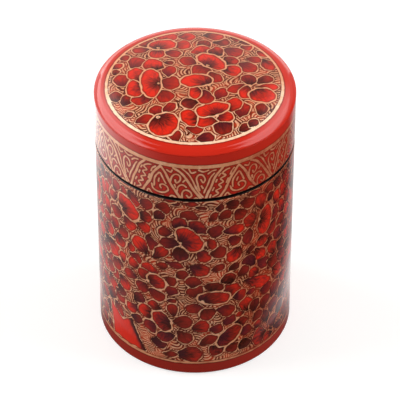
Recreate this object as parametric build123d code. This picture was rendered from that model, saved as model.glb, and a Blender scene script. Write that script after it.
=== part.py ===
from build123d import *
import math
import os

# A small turned wooden canister with a lift-off lid, painted and lacquered outside.
# Five turned pieces share the Z axis: the body wall, the disc glued into its foot, the
# collar glued into its mouth, the lid's wall, and the domed top glued onto that wall.
# The lid slides down over the collar until its ceiling lands on the collar's top, and
# that leaves a thin dark reveal between the lid's lower edge and the body's rim.
# Lengths are millimetres and angles are degrees. The origin is the centre of the foot,
# and Z points up through the lid.

# Driving dimensions: body
outer_diameter = 70.0
body_height = 83.4
mouth_wall = 2.9

# Driving dimensions: collar
collar_thickness = 2.0
collar_seat_depth = 12.0

# Driving dimensions: base disc
base_thickness = 4.0
base_recess = 0.8
foot_ring_width = 3.0

# Driving dimensions: lid
lid_wall_height = 19.2
lid_plug_depth = 2.4
seam_reveal = 1.0
shoulder_width = 2.4
shoulder_radius = 4.5
dome_edge_slope = 8.5

# Fits and edges
glue_gap = 0.1
sliding_clearance = 0.3
foot_bevel = 0.8
rim_bevel = 0.5
lead_in_bevel = 0.6
seam_groove = 0.2

# Radii that follow from them, from the outside in
outer_radius = outer_diameter / 2
dome_edge_radius = outer_radius - shoulder_width
collar_seat_radius = outer_radius - mouth_wall
collar_radius = collar_seat_radius - glue_gap
bore_radius = collar_radius - collar_thickness
base_seat_radius = outer_radius - foot_ring_width
base_radius = base_seat_radius - glue_gap
lid_bore_radius = collar_radius + sliding_clearance
plug_radius = lid_bore_radius - glue_gap

# Heights that follow from them, from the floor up
base_top = base_recess + base_thickness
collar_foot = body_height - collar_seat_depth
lid_foot = body_height + seam_reveal
lid_corner = lid_foot + lid_wall_height
ceiling = lid_corner - lid_plug_depth


def turned(outline):
    """Turn a closed outline, drawn as radius and height, once round the Z axis."""
    return revolve(make_face(Plane.XZ * outline), Axis.Z)


def rim(piece, radius, height):
    """The circular edge that a turned piece has at this radius and height."""
    circles = piece.edges().filter_by(GeomType.CIRCLE)
    return [
        edge
        for edge in circles
        if abs(edge.radius - radius) < 0.01 and abs(edge.center().Z - height) < 0.01
    ]


def make_body_wall():
    """A straight tube with a ledge for the collar in its mouth and one for the base in its foot."""
    outline = Polyline(
        (base_seat_radius, 0),
        (outer_radius, 0),
        (outer_radius, body_height),
        (collar_seat_radius, body_height),
        (collar_seat_radius, collar_foot),
        (bore_radius, collar_foot),
        (bore_radius, base_top),
        (base_seat_radius, base_top),
        close=True,
    )
    wall = turned(outline)
    wall = chamfer(rim(wall, outer_radius, 0), foot_bevel)
    return chamfer(rim(wall, outer_radius, body_height), rim_bevel)


def make_base_disc():
    """A disc let into the foot from below, held up off the floor by the wall's foot ring."""
    outline = Polyline(
        (0, base_recess),
        (base_radius, base_recess),
        (base_radius, base_top),
        (0, base_top),
        close=True,
    )
    disc = turned(outline)
    return chamfer(rim(disc, base_radius, base_recess), rim_bevel)


def make_inner_collar():
    """The sleeve that the lid slides on. Its top edges are eased so that the lid finds its way."""
    outline = Polyline(
        (bore_radius, collar_foot),
        (collar_radius, collar_foot),
        (collar_radius, ceiling),
        (bore_radius, ceiling),
        close=True,
    )
    sleeve = turned(outline)
    sleeve = chamfer(rim(sleeve, bore_radius, ceiling), rim_bevel)
    return chamfer(rim(sleeve, collar_radius, ceiling), lead_in_bevel)


def make_lid_wall():
    """The lid's ring, with a bevel inside its mouth and a fine groove where the top is glued on."""
    outline = Polyline(
        (lid_bore_radius, lid_foot),
        (outer_radius, lid_foot),
        (outer_radius, lid_corner),
        (lid_bore_radius, lid_corner),
        close=True,
    )
    ring = turned(outline)
    ring = chamfer(rim(ring, outer_radius, lid_foot), rim_bevel)
    ring = chamfer(rim(ring, lid_bore_radius, lid_foot), lead_in_bevel)
    return chamfer(rim(ring, outer_radius, lid_corner), seam_groove)


def make_lid_top():
    """The domed top: a plug that fits the ring, a rounded shoulder and a shallow dome.

    The shoulder is an arc that starts at the wall and turns inwards until its slope is the
    dome's edge slope. There the dome's own arc takes over, without a crease, and runs level
    into the axis.
    """
    edge_slope = math.radians(dome_edge_slope)
    corner_slope = math.asin(math.sin(edge_slope) + shoulder_width / shoulder_radius)
    dome_radius = dome_edge_radius / math.sin(edge_slope)
    shoulder = JernArc(
        (outer_radius, lid_corner + seam_groove),
        (-math.cos(corner_slope), math.sin(corner_slope)),
        shoulder_radius,
        math.degrees(corner_slope) - dome_edge_slope,
    )
    dome = JernArc(shoulder @ 1, shoulder % 1, dome_radius, dome_edge_slope)
    underside = Polyline(
        dome @ 1,
        (0, ceiling),
        (plug_radius, ceiling),
        (plug_radius, lid_corner),
        (outer_radius - seam_groove, lid_corner),
        shoulder @ 0,
    )
    return turned(shoulder + dome + underside)


pieces = {
    "body_wall": make_body_wall(),
    "base_disc": make_base_disc(),
    "inner_collar": make_inner_collar(),
    "lid_wall": make_lid_wall(),
    "lid_top": make_lid_top(),
}

os.makedirs("parts", exist_ok=True)
for name, piece in pieces.items():
    export_step(piece, f"parts/{name}.step")
    box = piece.bounding_box()
    print(f"{name}: volume {piece.volume:.0f} mm3, from z {box.min.Z:.2f} to {box.max.Z:.2f} mm")
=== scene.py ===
# %% [markdown]
# # A hand-painted, lacquered wooden canister
# The real object is five pieces of turned wood. They are painted red, covered with small
# flowers outlined in gold, and sealed under clear gloss lacquer. The frame that is loaded
# here holds the pieces at their true size. This lesson gives each of them a finished skin.

# %% Load the frame
import math

import bpy
import numpy as np
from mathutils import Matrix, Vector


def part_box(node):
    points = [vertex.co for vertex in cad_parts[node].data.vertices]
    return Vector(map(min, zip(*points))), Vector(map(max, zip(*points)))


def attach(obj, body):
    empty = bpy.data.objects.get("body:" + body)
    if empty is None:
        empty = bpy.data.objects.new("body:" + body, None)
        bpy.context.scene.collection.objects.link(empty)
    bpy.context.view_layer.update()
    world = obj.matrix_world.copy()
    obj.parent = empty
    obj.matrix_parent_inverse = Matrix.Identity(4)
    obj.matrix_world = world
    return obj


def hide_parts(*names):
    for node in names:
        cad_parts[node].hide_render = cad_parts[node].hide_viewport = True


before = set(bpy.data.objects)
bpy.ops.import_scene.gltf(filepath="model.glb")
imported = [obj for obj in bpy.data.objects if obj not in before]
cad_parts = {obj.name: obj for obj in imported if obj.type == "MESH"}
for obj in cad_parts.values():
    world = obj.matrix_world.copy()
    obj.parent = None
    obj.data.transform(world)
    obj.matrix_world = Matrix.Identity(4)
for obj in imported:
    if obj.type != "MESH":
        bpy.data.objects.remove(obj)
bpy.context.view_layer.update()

print("nodes:", sorted(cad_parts))

# %% [markdown]
# ## Sizes
# Every size comes from the frame, or is a fit or a bevel that a turner would know by heart.
# The script thinks in millimetres and turns them to metres only when a mesh is made.

# %% Read the sizes in millimetres
METRES = 0.001


def box_mm(node):
    """Lowest and highest corner of a node, in millimetres."""
    low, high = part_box(node)
    return np.array(low) / METRES, np.array(high) / METRES


outer_radius = box_mm("body_wall")[1][0]
body_height = box_mm("body_wall")[1][2]
lid_foot = box_mm("lid_wall")[0][2]
lid_corner = box_mm("lid_wall")[1][2]
ceiling = box_mm("lid_top")[0][2]
apex = box_mm("lid_top")[1][2]
collar_radius = box_mm("inner_collar")[1][0]
collar_foot = box_mm("inner_collar")[0][2]
base_radius = box_mm("base_disc")[1][0]
base_foot = box_mm("base_disc")[0][2]
base_top = box_mm("base_disc")[1][2]
circumference = 2 * math.pi * outer_radius
print(f"outer radius {outer_radius:.2f} mm, total height {apex:.2f} mm")

# %% [markdown]
# ## The camera
# The photograph is taken from about 42 degrees above the table with a long lens, so the
# sides hardly converge. Framing is part of the likeness, so the camera comes first.

# %% Place the camera
camera_elevation = 41.88
camera_distance = 972.2
camera_target = (0.0, 0.0, 52.5)
camera_lens = 244.4
camera_shift = (0.0125, 0.002)


def put_in_scene(name, data):
    """A new object that shows this data, linked to the scene."""
    made = bpy.data.objects.new(name, data)
    bpy.context.scene.collection.objects.link(made)
    return made


camera_data = bpy.data.cameras.new("camera")
camera = put_in_scene("camera", camera_data)
bpy.context.scene.camera = camera
pitch = math.radians(camera_elevation)
camera.location = [
    METRES * camera_target[0],
    METRES * (camera_target[1] - camera_distance * math.cos(pitch)),
    METRES * (camera_target[2] + camera_distance * math.sin(pitch)),
]
camera.rotation_euler = (math.pi / 2 - pitch, 0.0, 0.0)
camera_data.lens = camera_lens
camera_data.sensor_width = 36.0
camera_data.shift_x, camera_data.shift_y = camera_shift
camera_data.clip_start = 0.01
camera_data.clip_end = 20.0
bpy.context.scene.view_settings.view_transform = "Standard"
print("camera at", [round(value, 4) for value in camera.location])

# %% [markdown]
# ## Turned shells
# A lathe makes every solid here. In Blender the Screw modifier could do it, but a grid
# worked out with numpy keeps a known row and column for every point, and the painting
# below needs those. An outline is a list of corners in radius and height. Each corner is
# eased with its own small arc, because no lacquered edge is truly sharp.

# %% Ease the corners of an outline
RIM_STEPS = 5
INNER_STEPS = 3
SMALL_EASE = 0.4


def eased_corner(before, corner, after, ease):
    """Points of the arc that rounds one corner.

    The arc touches both straights at ease / tan(half the corner's angle) from the corner.
    Its points turn evenly from the first touching point to the second about the centre.
    """
    to_before = (before - corner) / np.linalg.norm(before - corner)
    to_after = (after - corner) / np.linalg.norm(after - corner)
    half = math.acos(np.clip(to_before @ to_after, -1, 1)) / 2
    touch = ease / math.tan(half)
    bisector = (to_before + to_after) / np.linalg.norm(to_before + to_after)
    centre = corner + bisector * ease / math.sin(half)
    first = corner + to_before * touch - centre
    last = corner + to_after * touch - centre
    sweep = math.pi - 2 * half
    steps = INNER_STEPS if ease < SMALL_EASE else RIM_STEPS
    share = np.linspace(0, 1, steps + 1)[:, None]
    spread = np.sin((1 - share) * sweep) * first + np.sin(share * sweep) * last
    return centre + spread / math.sin(sweep)


print("easing uses", RIM_STEPS, "steps in a rim's corner and", INNER_STEPS, "in an inner one")

# %% Close an outline
GUARD = 0.15


def straight(start, end, spacing):
    """Points between start and end, no further apart than spacing, with a guard near each end.

    The guards keep the shading of a long face flat right up to its rounded edge.
    """
    length = np.linalg.norm(end - start)
    if length < 3 * GUARD:
        return np.zeros((0, 2))
    steps = max(1, math.ceil((length - 2 * GUARD) / spacing))
    along = np.linspace(GUARD, length - GUARD, steps + 1)[:, None]
    return start + (end - start) * along / length


def closed_outline(corners):
    """An eased closed outline. A corner is its radius, height, ease and spacing.

    The spacing is the longest step along the straight that follows the corner.
    """
    points = np.array([corner[:2] for corner in corners])
    arcs = []
    for index, corner in enumerate(corners):
        before = points[index - 1]
        after = points[(index + 1) % len(points)]
        arcs.append(eased_corner(before, points[index], after, corner[2]))
    rows = []
    for index, corner in enumerate(corners):
        following = arcs[(index + 1) % len(arcs)]
        rows.append(arcs[index])
        rows.append(straight(arcs[index][-1], following[0], corner[3]))
    return np.vstack(rows)


print("the first row beside an edge is", GUARD, "mm from it")

# %% [markdown]
# A ring closes on itself both ways, like a bangle. A disc or a domed top starts and ends
# on the axis instead, where one point closes each end with a fan of triangles.

# %% Number the faces of a turned grid
def grid_faces(rows, columns, on_axis):
    """Point numbers of the quads, and of the triangles round the two poles on the axis."""
    near_row, near_column = np.meshgrid(
        np.arange(rows - 1 if on_axis else rows), np.arange(columns), indexing="ij",
    )
    far_row = (near_row + 1) % rows
    far_column = (near_column + 1) % columns
    quads = np.stack([
        near_row * columns + near_column,
        near_row * columns + far_column,
        far_row * columns + far_column,
        far_row * columns + near_column,
    ], axis=-1).reshape(-1, 4)
    if not on_axis:
        return quads, np.zeros((0, 3), int)
    column = np.arange(columns)
    following = (column + 1) % columns
    last = (rows - 1) * columns
    pole = np.full(columns, rows * columns)
    under = np.stack([pole, following, column], axis=-1)
    over = np.stack([pole + 1, last + column, last + following], axis=-1)
    return quads, np.vstack([under, over])


print("a ring of 2 rows and 3 columns has", len(grid_faces(2, 3, False)[0]), "quads")

# %% Turn an outline into a mesh
def turned_mesh(name, outline, columns, on_axis):
    """Carry an outline round the Z axis: x = r sin a, y = -r cos a, z = h for angle a.

    Angle 0 faces the camera, and angles grow towards the right. The outline runs
    anticlockwise when radius points right and height points up, so faces look outwards.
    """
    angle = (np.arange(columns) / columns - 0.5) * 2 * math.pi
    radius, height = outline.T
    grid = np.empty((len(outline), columns, 3))
    grid[..., 0] = radius[:, None] * np.sin(angle)
    grid[..., 1] = -radius[:, None] * np.cos(angle)
    grid[..., 2] = height[:, None]
    points = grid.reshape(-1, 3)
    if on_axis:
        points = np.vstack([points, [[0, 0, height[0]], [0, 0, height[-1]]]])
    quads, fans = grid_faces(len(outline), columns, on_axis)
    mesh = bpy.data.meshes.new(name)
    mesh.vertices.add(len(points))
    mesh.vertices.foreach_set("co", (points * METRES).astype(np.float32).ravel())
    corners = np.concatenate([quads.ravel(), fans.ravel()])
    sizes = np.concatenate([np.full(len(quads), 4), np.full(len(fans), 3)])
    mesh.loops.add(len(corners))
    mesh.loops.foreach_set("vertex_index", corners.astype(np.int32))
    mesh.polygons.add(len(sizes))
    starts = np.concatenate([[0], np.cumsum(sizes)[:-1]])
    mesh.polygons.foreach_set("loop_start", starts.astype(np.int32))
    mesh.polygons.foreach_set("use_smooth", np.ones(len(sizes), bool))
    mesh.update(calc_edges=True)
    mesh.validate()
    triangles = len(quads) * 2 + len(fans)
    print(f"{name}: {len(outline)} rows, {columns} columns, {triangles} triangles")
    return mesh, points


# %% [markdown]
# The five outlines. The paint is looked at closely only on the outside, so only those
# stretches have rows a fraction of a millimetre apart.

# %% Draw the five outlines
glue_gap = 0.1
sliding_clearance = 0.3
collar_thickness = 2.0
foot_ease = 0.8
rim_ease = 0.5
inner_ease = 0.3
seam_ease = 0.2
painted_spacing = 0.48
band_spacing = 0.26
dome_spacing = 0.3
plain_spacing = 40.0
bore_radius = collar_radius - collar_thickness
seat_radius = collar_radius + glue_gap
lid_bore = collar_radius + sliding_clearance
plug_radius = lid_bore - glue_gap
base_seat = base_radius + glue_gap

body_outline = closed_outline([
    (base_seat, 0.0, inner_ease, plain_spacing),
    (outer_radius, 0.0, foot_ease, painted_spacing),
    (outer_radius, body_height, rim_ease, plain_spacing),
    (seat_radius, body_height, inner_ease, plain_spacing),
    (seat_radius, collar_foot, inner_ease, plain_spacing),
    (bore_radius, collar_foot, inner_ease, plain_spacing),
    (bore_radius, base_top, inner_ease, plain_spacing),
    (base_seat, base_top, inner_ease, plain_spacing),
])
collar_outline = closed_outline([
    (bore_radius, collar_foot, inner_ease, plain_spacing),
    (collar_radius, collar_foot, inner_ease, plain_spacing),
    (collar_radius, ceiling, rim_ease, plain_spacing),
    (bore_radius, ceiling, rim_ease, plain_spacing),
])
lid_ring_outline = closed_outline([
    (lid_bore, lid_foot, rim_ease, plain_spacing),
    (outer_radius, lid_foot, rim_ease, band_spacing),
    (outer_radius, lid_corner, seam_ease, plain_spacing),
    (lid_bore, lid_corner, inner_ease, plain_spacing),
])
print("body rows:", len(body_outline), " lid ring rows:", len(lid_ring_outline))

# %% [markdown]
# The lid's top is a shallow dome that rolls over at a rounded shoulder. The shoulder is an
# arc that meets the dome's arc at the same slope, as in the frame.

# %% Draw the domed top
shoulder_width = 2.4
shoulder_radius = 4.5
dome_edge_slope = math.radians(8.5)
seam_groove = 0.2
beside_axis = 0.0006


def arc_points(centre, radius, first, last, spacing):
    """Points on a circle from angle first to angle last, measured from the radius axis."""
    steps = math.ceil(abs(last - first) * radius / spacing)
    turn = np.linspace(first, last, steps + 1)
    return np.array(centre) + radius * np.stack([np.cos(turn), np.sin(turn)], axis=-1)


corner_slope = math.asin(math.sin(dome_edge_slope) + shoulder_width / shoulder_radius)
shoulder_foot = lid_corner + seam_groove
shoulder_centre = (
    outer_radius - shoulder_radius * math.sin(corner_slope),
    shoulder_foot - shoulder_radius * math.cos(corner_slope),
)
shoulder = arc_points(
    shoulder_centre, shoulder_radius,
    math.pi / 2 - corner_slope, math.pi / 2 - dome_edge_slope, dome_spacing,
)
dome_radius = shoulder[-1][0] / math.sin(dome_edge_slope)
dome_centre = (0.0, shoulder[-1][1] - dome_radius * math.cos(dome_edge_slope))
dome = arc_points(
    dome_centre, dome_radius,
    math.pi / 2 - dome_edge_slope, math.pi / 2 - beside_axis, dome_spacing,
)
# The corners of the plug are cut by a few tenths of a millimetre, and so are the disc's.
underside = np.array([
    (0.2, ceiling),
    (plug_radius - 0.3, ceiling),
    (plug_radius - 0.05, ceiling + 0.05),
    (plug_radius, ceiling + 0.3),
    (plug_radius, lid_corner - 0.05),
    (plug_radius + 0.1, lid_corner),
    (outer_radius - seam_groove - 0.1, lid_corner),
    (outer_radius - seam_groove, lid_corner + 0.02),
])
lid_top_outline = np.vstack([underside, shoulder, dome[1:]])
print(f"dome radius {dome_radius:.1f} mm, apex at {dome[-1][1]:.2f} mm")

# %% Draw the base disc
base_outline = np.array([
    (0.2, base_foot),
    (base_radius - 0.7, base_foot),
    (base_radius - 0.5, base_foot),
    (base_radius - 0.15, base_foot + 0.15),
    (base_radius, base_foot + 0.5),
    (base_radius, base_top - 0.3),
    (base_radius - 0.1, base_top - 0.1),
    (base_radius - 0.3, base_top),
    (base_radius - 0.5, base_top),
    (0.2, base_top),
])
print(f"base disc from {base_foot:.2f} to {base_top:.2f} mm")

# %% [markdown]
# ## How the painter works
# The painter first covers the wood with red, then lays flowers over it from back to front,
# then outlines each petal in gold. Here a *sheet* is a bare surface with a place (u, v) in
# millimetres for each mesh point. Each figure laid on it is a distance function: below zero
# inside, above zero outside. The nearest visible outline is kept as one smooth number per
# point, so the shader can draw a crisp gold line much finer than the mesh.

# %% A bare sheet and an unsteady hand
SHEET_NUMBERS = ("outline", "tone", "feather", "ground", "comb", "gilt_and_painted_light")
FAR = 9.0
NO_WRAP = 1e6
hand_wobble = 0.13


def bare_sheet(u, v, wrap=NO_WRAP):
    """Open ground everywhere: no outline within reach and nothing painted.

    Places that differ by wrap in u are the same place, as they are round a wall.
    """
    return {
        "u": u, "v": v, "wrap": wrap,
        "outline": np.full(len(u), FAR),
        "tone": np.full(len(u), 0.5),
        "feather": np.zeros(len(u)),
        "ground": np.ones(len(u)),
        "comb": np.zeros(len(u)),
        "gilt_and_painted_light": np.full(len(u), 0.5),
        "brush": np.zeros((len(u), 3)),
    }


def unsteady(u, v, turn):
    """Places shifted by at most about a quarter of a millimetre, as by an unsteady hand.

    Each shift is a sum of two sines. They count whole waves round the turn, so they close.
    """
    shift_u = np.sin(37 * turn + 0.9 * v) + np.sin(-59 * turn + 1.3 * v + 1.0)
    shift_v = np.sin(-31 * turn + 1.0 * v + 2.0) + np.sin(53 * turn + 1.2 * v)
    return u + hand_wobble * shift_u, v + hand_wobble * shift_v


print("a sheet holds", ", ".join(SHEET_NUMBERS), "and brush")

# %% [markdown]
# Two shapes are enough for all the flowers: an egg for a petal, which is one press of a
# round brush, and a pointed leaf, which is a press and a pull. The petal across a flower's
# front is rounder than those behind it.

# %% Petals and leaves as distances
PLUMP = 1.76
FRONT_PLUMP = 2.15
LEAST_SWELL = 0.35


def petal_distance(x, y, length, width, taper, plump=PLUMP):
    """Distance from an egg outline with slightly pointed ends.

    The egg is an ellipse with the power plump in place of two, and its half width grows by
    the share taper from its middle to its tip. Its level q is 1 on the outline, and (q - 1)
    over the slope of q is close to a distance.
    """
    a, b = length / 2, width / 2
    swell = np.maximum(1 + taper * x / a, LEAST_SWELL)
    b = b * swell
    along, across = np.abs(x / a) + 1e-4, np.abs(y / b) + 1e-4
    q = (along**plump + across**plump) ** (1 / plump)
    slope = np.hypot((along / q) ** (plump - 1) / a, (across / q) ** (plump - 1) / b)
    return (q - 1) / slope


def front_petal_distance(x, y, length, width, taper):
    """Distance from the rounder egg of the petal that lies across a rose's front."""
    return petal_distance(x, y, length, width, taper, FRONT_PLUMP)


def leaf_distance(x, y, length, width, taper):
    """Distance from a pointed leaf: two arcs of radius (a*a + b*b) / 2b that meet at the tips."""
    a, b = length / 2, width / 2
    radius = (a * a + b * b) / (2 * b)
    swell = np.maximum(1 + taper * x / a, LEAST_SWELL)
    return np.hypot(x, np.abs(y) / swell + radius - b) - radius


def eased(value, start, end):
    """0 before start, 1 after end, and 3t*t - 2t*t*t between them."""
    t = np.clip((value - start) / (end - start), 0, 1)
    return t * t * (3 - 2 * t)


tip = petal_distance(np.array([3.0]), np.zeros(1), 6.0, 4.0, 0.0)[0]
print(f"the tip of a 6 mm petal is {abs(tip):.3f} mm from its outline")

# %% [markdown]
# A petal is dark where its flower's knot is and clears towards the tip. The painter gets
# that by dragging a dark brush outwards from the knot, so the tone follows the distance
# from that source, and the bristle marks run along it. A paint is three numbers: the tone
# where the brush starts, the tone where it ends, and how much of the way that change takes.

# %% The paints and the drag of the brush
paints = {
    "bright": (0.02, 1.0, 1.0),
    "red": (0.12, 0.86, 1.0),
    "split": (0.02, 0.8, 1.15),
    "maroon": (0.2, 0.6, 0.95),
    "dark": (0.0, 0.46, 1.1),
}


def dragged(x, y, length, width, source, share):
    """The brush's angle and run from the source, and how far the paint has cleared there.

    The clearing is 3t*t - 2t*t*t, where t goes from 0 at the figure's near end to 1 at a
    share of the way to its far end.
    """
    from_x, from_y = x - source[0], y - source[1]
    run = np.hypot(from_x, from_y)
    closest = max(0.0, math.hypot(*source) - max(length, width) / 2)
    reach = share * (math.hypot(*source) + min(length, width) / 2)
    facing = math.atan2(-source[1], -source[0])
    angle = (np.arctan2(from_y, from_x) - facing + math.pi) % (2 * math.pi) - math.pi
    return angle, run, eased(run, closest, closest + max(reach - closest, 1.0))


print("paints:", ", ".join(paints))

# %% Lay one figure on a sheet
comb_pitch = 0.98
comb_bend = 0.13
comb_room = 1.6
outline_room = 1.0
influence = 5.0
fine_line = 0.41
front_line = 0.6
rear_taper = 0.36
front_taper = 0.08
bristle_spread = 4.0
hue_shear = 3.7


def offsets(sheet, x0, y0):
    """Millimetres from (x0, y0) to every point, the short way round."""
    wrap = sheet["wrap"]
    return (sheet["u"] - x0 + wrap / 2) % wrap - wrap / 2, sheet["v"] - y0


def lay(sheet, figure, shape, line, source=None, taper=rear_taper, comb_halo=4.0):
    """Paint one figure: x, y, length, width, angle in degrees, and the name of its paint.

    It is broader at the end that points away from the source, and its tone climbs the same
    way. Comb strokes surround it out to comb_halo and bend with the distance squared.
    """
    x0, y0, length, width, degrees, paint = figure
    length, width = length + outline_room, width + outline_room
    du, dv = offsets(sheet, x0, y0)
    near = np.nonzero(np.hypot(du, dv) < max(length, width) / 2 + influence)[0]
    if not len(near):
        return
    du, dv = du[near], dv[near]
    cosine, sine = math.cos(math.radians(degrees)), math.sin(math.radians(degrees))
    x, y = du * cosine + dv * sine, dv * cosine - du * sine
    start = (-length / 2, 0.0)
    if source is not None:
        away_u, away_v = source[0] - x0, source[1] - y0
        start = away_u * cosine + away_v * sine, away_v * cosine - away_u * sine
    distance = shape(x, y, length, width, -taper if start[0] > 0 else taper)
    inside = distance < 0
    outline = sheet["outline"]
    around = np.minimum(outline[near] + line / 2, distance)
    outline[near] = np.where(inside, -distance, around) - line / 2

    halo = ~inside & (distance < comb_halo)
    strokes = round(math.pi * (length + width + comb_room) / 2 / comb_pitch)
    turn = np.arctan2(y / width, x / length) / (2 * math.pi)
    sheet["comb"][near[halo]] = (turn * strokes + comb_bend * distance * distance)[halo]

    low, high, share = paints[paint]
    angle, run, clearing = dragged(x, y, length, width, start, share)
    painted = near[inside]
    sheet["tone"][painted] = (low + (high - low) * clearing)[inside]
    sheet["feather"][painted] = high - low
    sheet["ground"][painted] = 0.0
    own_hue = np.full(len(run), x0 + hue_shear * y0)
    sheet["brush"][painted] = np.stack([angle * bristle_spread, run, own_hue], axis=-1)[inside]


print("comb strokes are", comb_pitch, "mm apart")

# %% Leaves, roses and plain borders
pointed_from = 1.22
knot_radius = 0.38
knot_half_width = 0.2
knot_reach = 0.5
knot_gilt = 0.55
knot_gilt_radius = 0.9


def draw_gold(sheet, distance, where=slice(None)):
    """Draw a gold line over the sheet: the lesser distance is the nearer line."""
    sheet["outline"][where] = np.minimum(sheet["outline"][where], distance)


def lay_leaf(sheet, leaf):
    """One leaf: a pointed one if it is clearly longer than wide, and an egg otherwise."""
    shape = leaf_distance if leaf[2] > pointed_from * leaf[3] else petal_distance
    lay(sheet, leaf, shape, fine_line)


def lay_rose(sheet, knot, petals):
    """A rose: petals from back to front round its knot. The last one lies across the front.

    The knot is a small gold ring at the flower's heart.
    """
    for petal in petals[:-1]:
        lay(sheet, petal, petal_distance, fine_line, knot)
    lay(sheet, petals[-1], front_petal_distance, front_line, knot, front_taper)
    from_knot = np.hypot(*offsets(sheet, *knot))
    ring = np.abs(from_knot - knot_radius) - knot_half_width
    touched = ring < knot_reach
    draw_gold(sheet, ring[touched], touched)
    sheet["gilt_and_painted_light"][from_knot < knot_gilt_radius] = knot_gilt


def leave_plain(sheet, plain, tone):
    """Cover a part of the sheet with one red, without figures or comb strokes."""
    sheet["outline"][plain] = FAR
    sheet["ground"][plain] = 0.0
    sheet["feather"][plain] = 0.0
    sheet["tone"][plain] = tone


print("a leaf is pointed from", pointed_from, "times as long as wide")

# %% [markdown]
# ## The lid's flowers
# The places are read off the photograph, in millimetres from the middle of the lid
# with y away from the viewer, so that flowers sit where the painter put them.

# %% Place the lid's leaves and roses
lid_leaves = [
    (-25.5, 2.5, 6.5, 4.6, 100, "maroon"), (-27.2, -6.0, 5.3, 3.6, 95, "dark"),
    (-20.5, 12.0, 6.5, 5.5, 70, "maroon"), (-24.6, 15.5, 3.0, 3.0, 0, "maroon"),
    (-27.0, 10.8, 4.0, 2.5, 30, "red"), (-27.5, 7.6, 2.6, 1.8, 80, "dark"),
    (-22.6, -15.3, 2.8, 2.2, 0, "dark"), (-13.2, -14.3, 5.2, 3.8, 100, "maroon"),
    (-8.7, -13.0, 5.5, 3.2, 45, "maroon"), (-17.3, -18.2, 6.5, 4.0, 20, "maroon"),
    (-6.8, -26.5, 5.5, 4.0, 100, "maroon"), (-9.0, 11.2, 3.0, 1.8, 0, "dark"),
    (-23.2, -8.2, 5.5, 4.3, 60, "dark"), (8.8, -6.0, 6.5, 3.6, 60, "maroon"),
    (16.0, -13.5, 7.5, 5.0, 80, "maroon"), (22.7, -12.8, 5.6, 3.6, 80, "dark"),
    (17.0, -22.2, 4.2, 3.3, 40, "dark"), (19.8, -19.8, 4.0, 2.6, 50, "dark"),
    (3.6, -27.5, 6.0, 4.0, 20, "dark"), (0.0, -23.0, 5.5, 4.5, 0, "maroon"),
    (9.2, 24.0, 5.5, 4.0, 0, "dark"), (3.0, 22.2, 5.0, 4.5, 60, "dark"),
    (6.5, 28.0, 7.0, 4.6, -10, "split"), (14.0, 27.0, 5.0, 2.5, -50, "dark"),
    (18.0, 21.5, 4.0, 3.6, 0, "red"), (17.5, 24.5, 4.0, 2.5, 0, "dark"),
    (18.3, 9.5, 6.5, 5.5, -40, "maroon"), (20.5, 14.2, 5.5, 3.2, 0, "maroon"),
    (23.5, 18.3, 4.0, 3.0, -50, "red"), (25.3, 12.0, 6.5, 4.3, -60, "split"),
    (13.3, 18.2, 6.5, 5.5, -30, "maroon"),
]
lid_roses = [
    ((-13.0, 20.5), [
        (-10.0, 27.3, 7.0, 4.5, 0, "red"), (-3.0, 27.3, 5.5, 4.5, 0, "red"),
        (-17.0, 24.3, 5.5, 4.5, 30, "split"), (-13.2, 17.3, 5.5, 5.0, 80, "red"),
        (-7.8, 16.8, 5.5, 4.0, -20, "maroon"), (-18.8, 19.7, 5.5, 3.2, 0, "maroon"),
        (-4.7, 22.0, 6.0, 5.0, 0, "red"), (-11.4, 22.5, 9.0, 5.6, 0, "bright"),
    ]),
    ((4.5, 9.5), [
        (2.0, 18.3, 6.5, 5.0, 20, "red"), (7.3, 18.0, 5.0, 5.0, 0, "split"),
        (12.3, 12.8, 5.5, 4.5, -45, "split"), (12.5, 7.0, 6.5, 5.5, 0, "bright"),
        (2.2, 6.5, 6.5, 5.8, 0, "maroon"), (6.7, 3.0, 6.0, 4.2, -60, "maroon"),
        (-2.3, 11.8, 6.0, 4.5, -30, "maroon"), (5.8, 11.8, 11.0, 6.3, -42, "bright"),
    ]),
    ((-12.7, -0.2), [
        (-18.0, -8.0, 7.0, 5.0, 0, "split"), (-10.5, -6.8, 6.5, 5.5, -60, "maroon"),
        (-8.8, -0.2, 7.0, 6.5, 0, "maroon"), (-9.0, 6.3, 5.5, 4.3, 90, "maroon"),
        (-14.2, 10.3, 7.2, 5.8, -30, "bright"), (-20.2, 4.8, 8.0, 5.5, 100, "bright"),
        (-20.8, -2.0, 8.5, 5.3, 100, "bright"), (-15.2, 0.2, 14.5, 6.4, 93, "bright"),
    ]),
    ((19.0, -0.9), [
        (24.0, 2.8, 6.5, 3.4, 35, "dark"), (18.7, 2.2, 5.4, 4.6, 100, "dark"),
        (14.3, -2.5, 6.5, 3.5, 40, "maroon"), (24.8, -0.9, 7.5, 2.8, 8, "red"),
        (17.5, -4.3, 6.8, 3.8, 75, "bright"), (23.2, -5.5, 8.5, 6.6, 10, "bright"),
    ]),
    ((7.5, -17.0), [
        (9.8, -22.2, 7.0, 6.0, 40, "dark"), (13.0, -11.5, 7.5, 4.5, 60, "red"),
        (10.0, -17.5, 5.5, 4.5, 30, "red"), (3.5, -19.5, 8.0, 5.0, 0, "red"),
        (-1.8, -18.3, 8.0, 5.0, 110, "bright"), (6.0, -13.8, 11.5, 5.6, 22, "bright"),
    ]),
    ((5.0, -1.5), [
        (-1.8, -10.8, 5.5, 4.5, 20, "dark"), (3.5, -7.5, 7.0, 5.2, 95, "maroon"),
        (0.0, -5.0, 7.0, 3.5, 95, "bright"), (0.5, 1.0, 10.5, 6.0, 5, "bright"),
    ]),
    ((-12.5, -17.4), [(-10.5, -20.8, 10.5, 9.0, 60, "bright")]),
]
print(len(lid_leaves), "leaves and", len(lid_roses), "roses on the lid")

# %% Paint the lid's top
ring_radius = 30.5
ring_width = 1.1
ring_centre = (-0.15, 0.45)
least_lid_tone = 0.11
lid_border_tone = 0.82


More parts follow.
